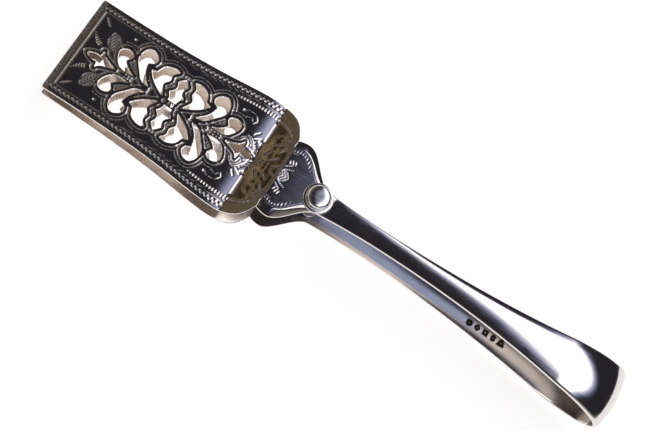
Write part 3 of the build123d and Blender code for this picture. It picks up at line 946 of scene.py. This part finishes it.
def arm(name, side, body):
    """One arm from its shoulder to the bow, with the tongue's pocket and the post's hole.

    Stations stand closer round the post and, on the lower arm, along the punched marks.
    """
    p = plan()
    bore = p.post_radius + (p.post_clearance if side > 0 else p.solder_gap)
    pocket_gap = 0.05 * MM
    pocket_end = p.post_x + p.tongue_end_radius + pocket_gap
    marks_start, marks_end = 0.058, 0.080
    mark_steps = 110 if side < 0 else 34
    mark_depth = 0.22 * MM
    x = np.concatenate([
        np.linspace(p.neck_x, p.post_x - bore, 70)[:-1],
        p.post_x + bore * np.cos(np.linspace(np.pi, 0, 25)),
        np.linspace(p.post_x + bore, pocket_end, 24)[1:],
        np.linspace(pocket_end + 1e-6, marks_start, 110),
        np.linspace(marks_start, marks_end, mark_steps)[1:],
        np.linspace(marks_end, p.bow_x, 30)[1:]])
    half = arm_half_width(p, x)
    inner = np.sqrt(np.maximum(bore**2 - (x - p.post_x) ** 2, 0))
    inner[inner < 1e-5] = 0  # where the bore ends, its wall meets the middle line
    edge = np.interp(x, *tongue_edge(p).T) + pocket_gap
    round_end = (p.tongue_end_radius + pocket_gap) ** 2 - (x - p.post_x) ** 2
    round_end = np.maximum(np.sqrt(np.maximum(round_end, 0)), 0.6 * MM)
    edge = np.where(x > p.post_x, round_end, edge)
    pocket = np.where(x <= pocket_end, edge, np.nan)
    floor = p.neck_half_gap + p.neck_floor - p.solder_gap - arm_half_gap(p, x)
    bottom_steps = 26
    sections = half_section(half, arm_shape(p, x), inner, pocket, floor, bottom_steps)
    gap = arm_half_gap(p, x)[:, None]
    stamps = []

    def place(across, out):
        """Section values to X, Y, Z, with the marks pressed into the lower arm's inner face."""
        along = x[:, None] + 0 * across
        clear = half[:, None] * 0.9 - np.abs(across) > 0
        under = (np.arange(out.shape[1]) < bottom_steps) & clear & (side < 0)
        stamp = np.where(under, marks(along / MM, across / MM), 0)
        stamps.append(stamp.ravel())
        height = gap + out + mark_depth * stamp
        return np.stack([along, across, side * height], -1).reshape(-1, 3)

    openings = (inner[:-1] + inner[1:]) > 0
    vertices, faces = sweep_halves(sections, place, openings)
    if side > 0:
        faces = [face[::-1] for face in faces]
    parts = inner_parts(sections, bottom_steps, openings.sum())
    finishes = [finish("polished_sterling_silver"), finish("tarnish_and_painted_reflection_silver")]
    stamped = np.concatenate(stamps)
    # Painted reflection on the inner faces: slate blue in the middle across the arm, fading to the
    # warm tone at the edges and from the punched marks on to the bow
    share = np.abs(vertices[:, 1]) / np.repeat(np.tile(half, 2), sections.shape[1])
    warm = np.maximum(smoothstep(0.5, 0.68, share), smoothstep(0.056, 0.076, vertices[:, 0]))
    layers = {"cut": stamped, "matt": 0 * stamped, "warm": warm}
    piece = new_piece(name, vertices, faces, finishes, 32, parts, layers)
    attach(piece, body)
    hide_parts(name.replace("polished_", ""))


class TONGS_OT_blades(bpy.types.Operator):
    """Makes the two pierced and engraved blades"""
    bl_idname = "tongs.blades"
    bl_label = "Engraved blades"

    def execute(self, context):
        grid = blade_grid(plan())
        blade("engraved_upper_blade", 1, "upper_half", grid)
        blade("engraved_lower_blade", -1, "lower_half", grid)
        return {"FINISHED"}


class TONGS_OT_arms(bpy.types.Operator):
    """Makes the two domed arms with their shoulders"""
    bl_idname = "tongs.arms"
    bl_label = "Arms"

    def execute(self, context):
        arm("polished_upper_arm", 1, "upper_half")
        arm("polished_lower_arm", -1, "lower_half")
        return {"FINISHED"}


class TONGS_OT_bow(bpy.types.Operator):
    """Makes the bow spring that joins the arms"""
    bl_idname = "tongs.bow"
    bl_label = "Bow spring"

    def execute(self, context):
        p = plan()
        turn = np.linspace(0, np.pi, 145)
        bend = np.sin(turn)
        half = p.bow_start_half_width + (p.bow_half_width - p.bow_start_half_width) * bend
        shape = p.bow_start_section + (p.bow_end_section - p.bow_start_section) * bend[:, None]
        none = np.zeros_like(turn)  # no bore, no pocket
        bottom_steps = 16
        sections = half_section(half, shape, none, none * np.nan, none, bottom_steps)
        out_x = p.bow_half_gap * np.sin(turn)
        out_z = p.bow_reach * np.cos(turn)
        size = np.hypot(out_x, out_z)

        def place(across, out):
            """A half ellipse, with the section standing out square to it."""
            px = (p.bow_x + p.bow_reach * np.sin(turn))[:, None] + out * (out_x / size)[:, None]
            pz = (p.bow_half_gap * np.cos(turn))[:, None] + out * (out_z / size)[:, None]
            return np.stack([px, across, pz], -1).reshape(-1, 3)

        vertices, faces = sweep_halves(sections, place, none[1:])
        finishes = [finish("polished_sterling_silver"), finish("tarnish_and_painted_reflection_silver")]
        parts = inner_parts(sections, bottom_steps, 0)
        zeros = np.zeros(len(vertices))
        # The bow's inner face takes the warm tone of tarnish and painted reflection all over
        layers = {"cut": zeros, "matt": zeros, "warm": zeros + 1}
        faces = [face[::-1] for face in faces]
        piece = new_piece("polished_bow_spring", vertices, faces, finishes, 32, parts, layers)
        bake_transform(piece)
        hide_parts("bow_spring")
        return {"FINISHED"}


class TONGS_OT_button(bpy.types.Operator):
    """Makes the guide post with its rivet head, the collar, the stop ring and the button"""
    bl_idname = "tongs.button"
    bl_label = "Post and button"

    def execute(self, context):
        p = plan()
        bore = p.post_radius + p.socket_clearance
        foot = -p.neck_top - p.solder_gap
        # Rivet head: a dome of half an ellipse under a short upright side
        angle = np.linspace(0, np.pi / 2, 18)
        dome = np.column_stack([
            p.rivet_radius * np.sin(angle), foot - (0.25 + 1.25 * np.cos(angle)) * MM])
        side_x = p.rivet_radius - 0.06 * MM
        post_top = p.cap_z + 1.45 * MM
        post = np.vstack([dome, [
            (p.rivet_radius, foot - 0.06 * MM), (side_x, foot), (p.post_radius, foot),
            (p.post_radius, post_top), (0, post_top + 0.02 * MM)]])
        low = -p.neck_half_gap + p.solder_gap
        collar = self.ring(bore, p.collar_radius, low, low + p.collar_height, 0.45 * MM)
        stop = self.ring(bore, p.ring_diameter / 2, p.ring_z, p.cap_z, 0.36 * MM)
        # Button: a bead round its foot, a fine groove, and a crown over them
        wall = p.cap_diameter / 2
        base = p.cap_z + 0.01 * MM
        bead_radius = 0.34 * MM
        bead_middle = 0.36 * MM
        turn = np.linspace(-np.pi / 2, np.pi * 0.62, 12)
        bead = np.column_stack([
            wall - bead_middle + bead_radius * np.cos(turn),
            base + bead_middle + bead_radius * np.sin(turn)])
        # The crown is a superellipse: 2 would be a round dome, larger is flatter on top
        flat = 4.2
        crown = wall - 0.45 * MM
        crown_z = base + 0.85 * MM
        crown_height = p.cap_height - 0.87 * MM
        rise = np.linspace(0, np.pi / 2, 40)
        dome = np.column_stack([
            crown * np.cos(rise) ** (2 / flat), crown_z + crown_height * np.sin(rise) ** (2 / flat)])
        dome[-1, 0] = 0
        socket_top = base + 1.5 * MM
        cap = np.vstack([
            [(0, socket_top), (bore, socket_top), (bore, base)], bead,
            [(crown - 0.05 * MM, base + 0.78 * MM)], dome])
        for name, profile, material, slot in (
                ("riveted_guide_post", post, "polished_sterling_silver", "polished_silver"),
                ("turned_guide_collar", collar, "polished_sterling_silver", "polished_silver"),
                ("turned_stop_ring", stop, "polished_sterling_silver", "polished_silver"),
                ("domed_button_cap", cap, "worn_sterling_silver", "button_silver")):
            vertices, faces = revolve(profile, p.post_x)
            piece = new_piece(name, vertices, faces, [finish(material)], 38)
            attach(piece, "lower_half")
            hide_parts(name.split("_", 1)[1])
        return {"FINISHED"}

    @staticmethod
    def ring(inner, outer, low, high, soft):
        """Closed profile of a flat ring whose outer corners are rounded by a quarter circle."""
        angle = np.linspace(0, np.pi / 2, 7)
        lower = np.column_stack([
            outer - soft + soft * np.sin(angle), low + soft - soft * np.cos(angle)])
        upper = np.column_stack([
            outer - soft + soft * np.cos(angle), high - soft + soft * np.sin(angle)])
        return np.vstack([[(inner, low)], lower, upper, [(inner, high), (inner, low)]])


class TONGS_OT_stage(bpy.types.Operator):
    """Makes the table, the studio light and the camera"""
    bl_idname = "tongs.stage"
    bl_label = "Stage"

    def execute(self, context):
        self.table()
        self.surroundings()
        self.camera(context)
        return {"FINISHED"}

    def table(self):
        """A plain pale table that glows a little, so that shadows stay faint."""
        level = cad_box[0][2] - 0.02 * MM
        size = 3.0
        corners = [(-size, -size, level), (size, -size, level),
                   (size, size, level), (-size, size, level)]
        mesh = bpy.data.meshes.new("table")
        mesh.from_pydata(corners, [], [(0, 1, 2, 3)])
        material = bpy.data.materials.new("matt_white_table")
        material.use_nodes = True
        tree = material.node_tree
        tree.nodes.clear()
        tone = rgba(bpy.context.scene.tongs_colours.floor)
        shader = add(tree, "ShaderNodeBsdfPrincipled", {}, {
            "Base Color": tone, "Roughness": 0.9, "Emission Color": tone, "Emission Strength": 0.72})
        add(tree, "ShaderNodeOutputMaterial", {}, {"Surface": shader.outputs[0]})
        mesh.materials.append(material)
        table = bpy.data.objects.new("table", mesh)
        bpy.context.collection.objects.link(table)

    def surroundings(self):
        """Soft studio light in the world: dark overhead, a large white panel towards +X and +Y.

        Directions are turned into two angles from straight up, one towards +X and one towards +Y,
        and each light patch is a product of soft steps in those angles.
        """
        world = bpy.data.worlds.new("studio")
        bpy.context.scene.world = world
        world.use_nodes = True
        tree = world.node_tree
        tree.nodes.clear()
        way = add(tree, "ShaderNodeTexCoord").outputs["Generated"]
        x, y, z = add(tree, "ShaderNodeSeparateXYZ", {}, {0: way}).outputs

        # Angles in degrees from straight up, towards +X and towards +Y
        angles = []
        for part in (x, y):
            radians = add(tree, "ShaderNodeMath", {"operation": "ARCTAN2"}, {
                0: part, 1: z}).outputs[0]
            angles.append(add(tree, "ShaderNodeMath", {"operation": "MULTIPLY"}, {
                0: radians, 1: 180 / np.pi}).outputs[0])
        ax, ay = angles

        # Soft steps: each is 0 at its first angle and 1 at its second
        soft = {}
        for key, angle, start, end in (
                ("past_heel", ax, -14, -20), ("before_tips", ax, -50, -36),
                ("low_far_side", ay, 50, 30), ("beyond_tips", ax, -48, -66),
                ("towards_bow", ax, 14, 40), ("near_low", ay, -60, -84),
                ("near_side", ay, -24, -46)):
            soft[key] = add(tree, "ShaderNodeMapRange", {"interpolation_type": "SMOOTHSTEP"}, {
                "Value": angle, "From Min": start, "From Max": end}).outputs[0]

        # Panel: its slanted near edge is where 6.4 times ax, as far as 13 degrees, plus ay is 17.5
        kept = add(tree, "ShaderNodeMath", {"operation": "MINIMUM"}, {0: ax, 1: 13.0}).outputs[0]
        lead = add(tree, "ShaderNodeMath", {"operation": "MULTIPLY_ADD"}, {
            0: kept, 1: 6.4, 2: -17.5}).outputs[0]
        ahead = add(tree, "ShaderNodeMath", {"operation": "ADD"}, {0: lead, 1: ay}).outputs[0]
        inside = add(tree, "ShaderNodeMapRange", {}, {
            "Value": ahead, "From Min": 3, "From Max": 46}).outputs[0]
        # Its far end is round: ax plus the square of the angle from its middle line
        off_middle = add(tree, "ShaderNodeMath", {"operation": "SUBTRACT"}, {
            0: ay, 1: 12.0}).outputs[0]
        square = add(tree, "ShaderNodeMath", {"operation": "MULTIPLY"}, {
            0: off_middle, 1: off_middle}).outputs[0]
        forward = add(tree, "ShaderNodeMath", {"operation": "MAXIMUM"}, {0: ax, 1: 0.0}).outputs[0]
        reach = add(tree, "ShaderNodeMath", {"operation": "MULTIPLY_ADD"}, {
            0: square, 1: 1 / 62, 2: forward}).outputs[0]
        ended = add(tree, "ShaderNodeMapRange", {"interpolation_type": "SMOOTHSTEP"}, {
            "Value": reach, "From Min": 54, "From Max": 36}).outputs[0]
        panel = add(tree, "ShaderNodeMath", {"operation": "MULTIPLY"}, {
            0: inside, 1: ended}).outputs[0]
        ramp = add(tree, "ShaderNodeValToRGB", {}, {"Fac": panel})
        stops = ((0.0, "#26252b"), (0.2, "#474b60"), (0.45, "#7b82a6"), (0.7, "#b4bad2"),
                 (0.9, "#ffffff"))
        elements = ramp.color_ramp.elements
        elements.remove(elements[1])
        elements[0].position = stops[0][0]
        elements[0].color = rgba(linear(stops[0][1]))
        for position, tone in stops[1:]:
            elements.new(position).color = rgba(linear(tone))

        # Warm room low towards the tips, lighter and darker in soft bands
        bands = add(tree, "ShaderNodeTexNoise", {}, {
            "Vector": way, "Scale": 14.0, "Detail": 1.0}).outputs["Fac"]
        band = add(tree, "ShaderNodeMapRange", {"interpolation_type": "SMOOTHSTEP"}, {
            "Value": bands, "From Min": 0.38, "From Max": 0.62}).outputs[0]
        room = add(tree, "ShaderNodeMix", {"data_type": "RGBA"}, {
            "Factor": band, 6: rgba(linear("#1f1a16")), 7: rgba(linear("#857356"))}).outputs[2]
        brown = add(tree, "ShaderNodeMath", {"operation": "MULTIPLY"}, {
            0: soft["past_heel"], 1: soft["before_tips"]}).outputs[0]
        brown = add(tree, "ShaderNodeMath", {"operation": "MULTIPLY"}, {
            0: brown, 1: soft["low_far_side"]}).outputs[0]
        # Greyer near side, bright low down, for the edges that face the viewer
        near = rgba(linear("#2c2a2c"))
        for share, tone in (("towards_bow", "#8a8480"), ("near_low", "#e6e2de")):
            near = add(tree, "ShaderNodeMix", {"data_type": "RGBA"}, {
                "Factor": soft[share], 6: near, 7: rgba(linear(tone))}).outputs[2]
        sky = ramp.outputs[0]
        for share, tone in ((brown, room), (soft["beyond_tips"], rgba(linear("#d8d4d0"))),
                            (soft["near_side"], near)):
            sky = add(tree, "ShaderNodeMix", {"data_type": "RGBA"}, {
                "Factor": share, 6: sky, 7: tone}).outputs[2]
        strength = add(tree, "ShaderNodeMapRange", {}, {
            "Value": panel, "To Min": 1.1, "To Max": 1.65}).outputs[0]
        light = add(tree, "ShaderNodeBackground", {}, {
            "Color": sky, "Strength": strength}).outputs[0]
        # The wall beyond the table is plain and pale; the studio shows only in the silver
        tone = rgba(bpy.context.scene.tongs_colours.floor)
        wall = add(tree, "ShaderNodeBackground", {}, {"Color": tone, "Strength": 1.0}).outputs[0]
        seen = add(tree, "ShaderNodeLightPath").outputs["Is Camera Ray"]
        both = add(tree, "ShaderNodeMixShader", {}, {0: seen, 1: light, 2: wall}).outputs[0]
        add(tree, "ShaderNodeOutputWorld", {}, {"Surface": both})

    def camera(self, context):
        """A long lens above the tongs, tipped towards the near side and turned along the diagonal."""
        away = 0.6
        data = bpy.data.cameras.new("camera")
        camera = bpy.data.objects.new("camera", data)
        bpy.context.collection.objects.link(camera)
        towards = np.array([-0.0550, -0.3022, 0.0])
        towards[2] = np.sqrt(1 - (towards**2).sum())
        right = np.array([1.0, 0, 0]) - towards * towards[0]
        right /= np.linalg.norm(right)
        up = np.cross(towards, right)
        roll = 0.5840
        across = right * np.cos(roll) + up * np.sin(roll)
        upward = up * np.cos(roll) - right * np.sin(roll)
        data.sensor_width = 36.0
        data.lens = 87.016186
        data.shift_x = -0.03742326
        data.shift_y = 0.01894574
        data.clip_start = 0.01
        data.clip_end = 20.0
        place = np.identity(4)
        place[:3] = np.column_stack([across, upward, towards, towards * away])
        camera.matrix_world = Matrix(place.tolist())
        context.scene.camera = camera
        context.scene.view_settings.view_transform = "Standard"


class TONGS_PT_panel(bpy.types.Panel):
    """Lists the sizes, the colours and the steps"""
    bl_idname = "TONGS_PT_panel"
    bl_label = "Serving tongs"
    bl_space_type = "VIEW_3D"
    bl_region_type = "UI"
    bl_category = "Tongs"

    def draw(self, context):
        for step in STEPS:
            self.layout.operator(step.bl_idname)
        for group in (context.scene.tongs_sizes, context.scene.tongs_colours):
            for key in group.__annotations__:
                self.layout.prop(group, key)


STEPS = (TONGS_OT_blades, TONGS_OT_arms, TONGS_OT_bow, TONGS_OT_button, TONGS_OT_stage)
CLASSES = (TongsSizes, TongsColours, *STEPS, TONGS_PT_panel)


def register():
    for item in CLASSES:
        bpy.utils.register_class(item)
    bpy.types.Scene.tongs_sizes = PointerProperty(type=TongsSizes)
    bpy.types.Scene.tongs_colours = PointerProperty(type=TongsColours)


def unregister():
    del bpy.types.Scene.tongs_colours
    del bpy.types.Scene.tongs_sizes
    for item in reversed(CLASSES):
        bpy.utils.unregister_class(item)


def main():
    """Registers the add-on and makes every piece."""
    register()
    bpy.ops.tongs.blades()
    bpy.ops.tongs.arms()
    bpy.ops.tongs.bow()
    bpy.ops.tongs.button()
    bpy.ops.tongs.stage()


if __name__ == "__main__":
    main()
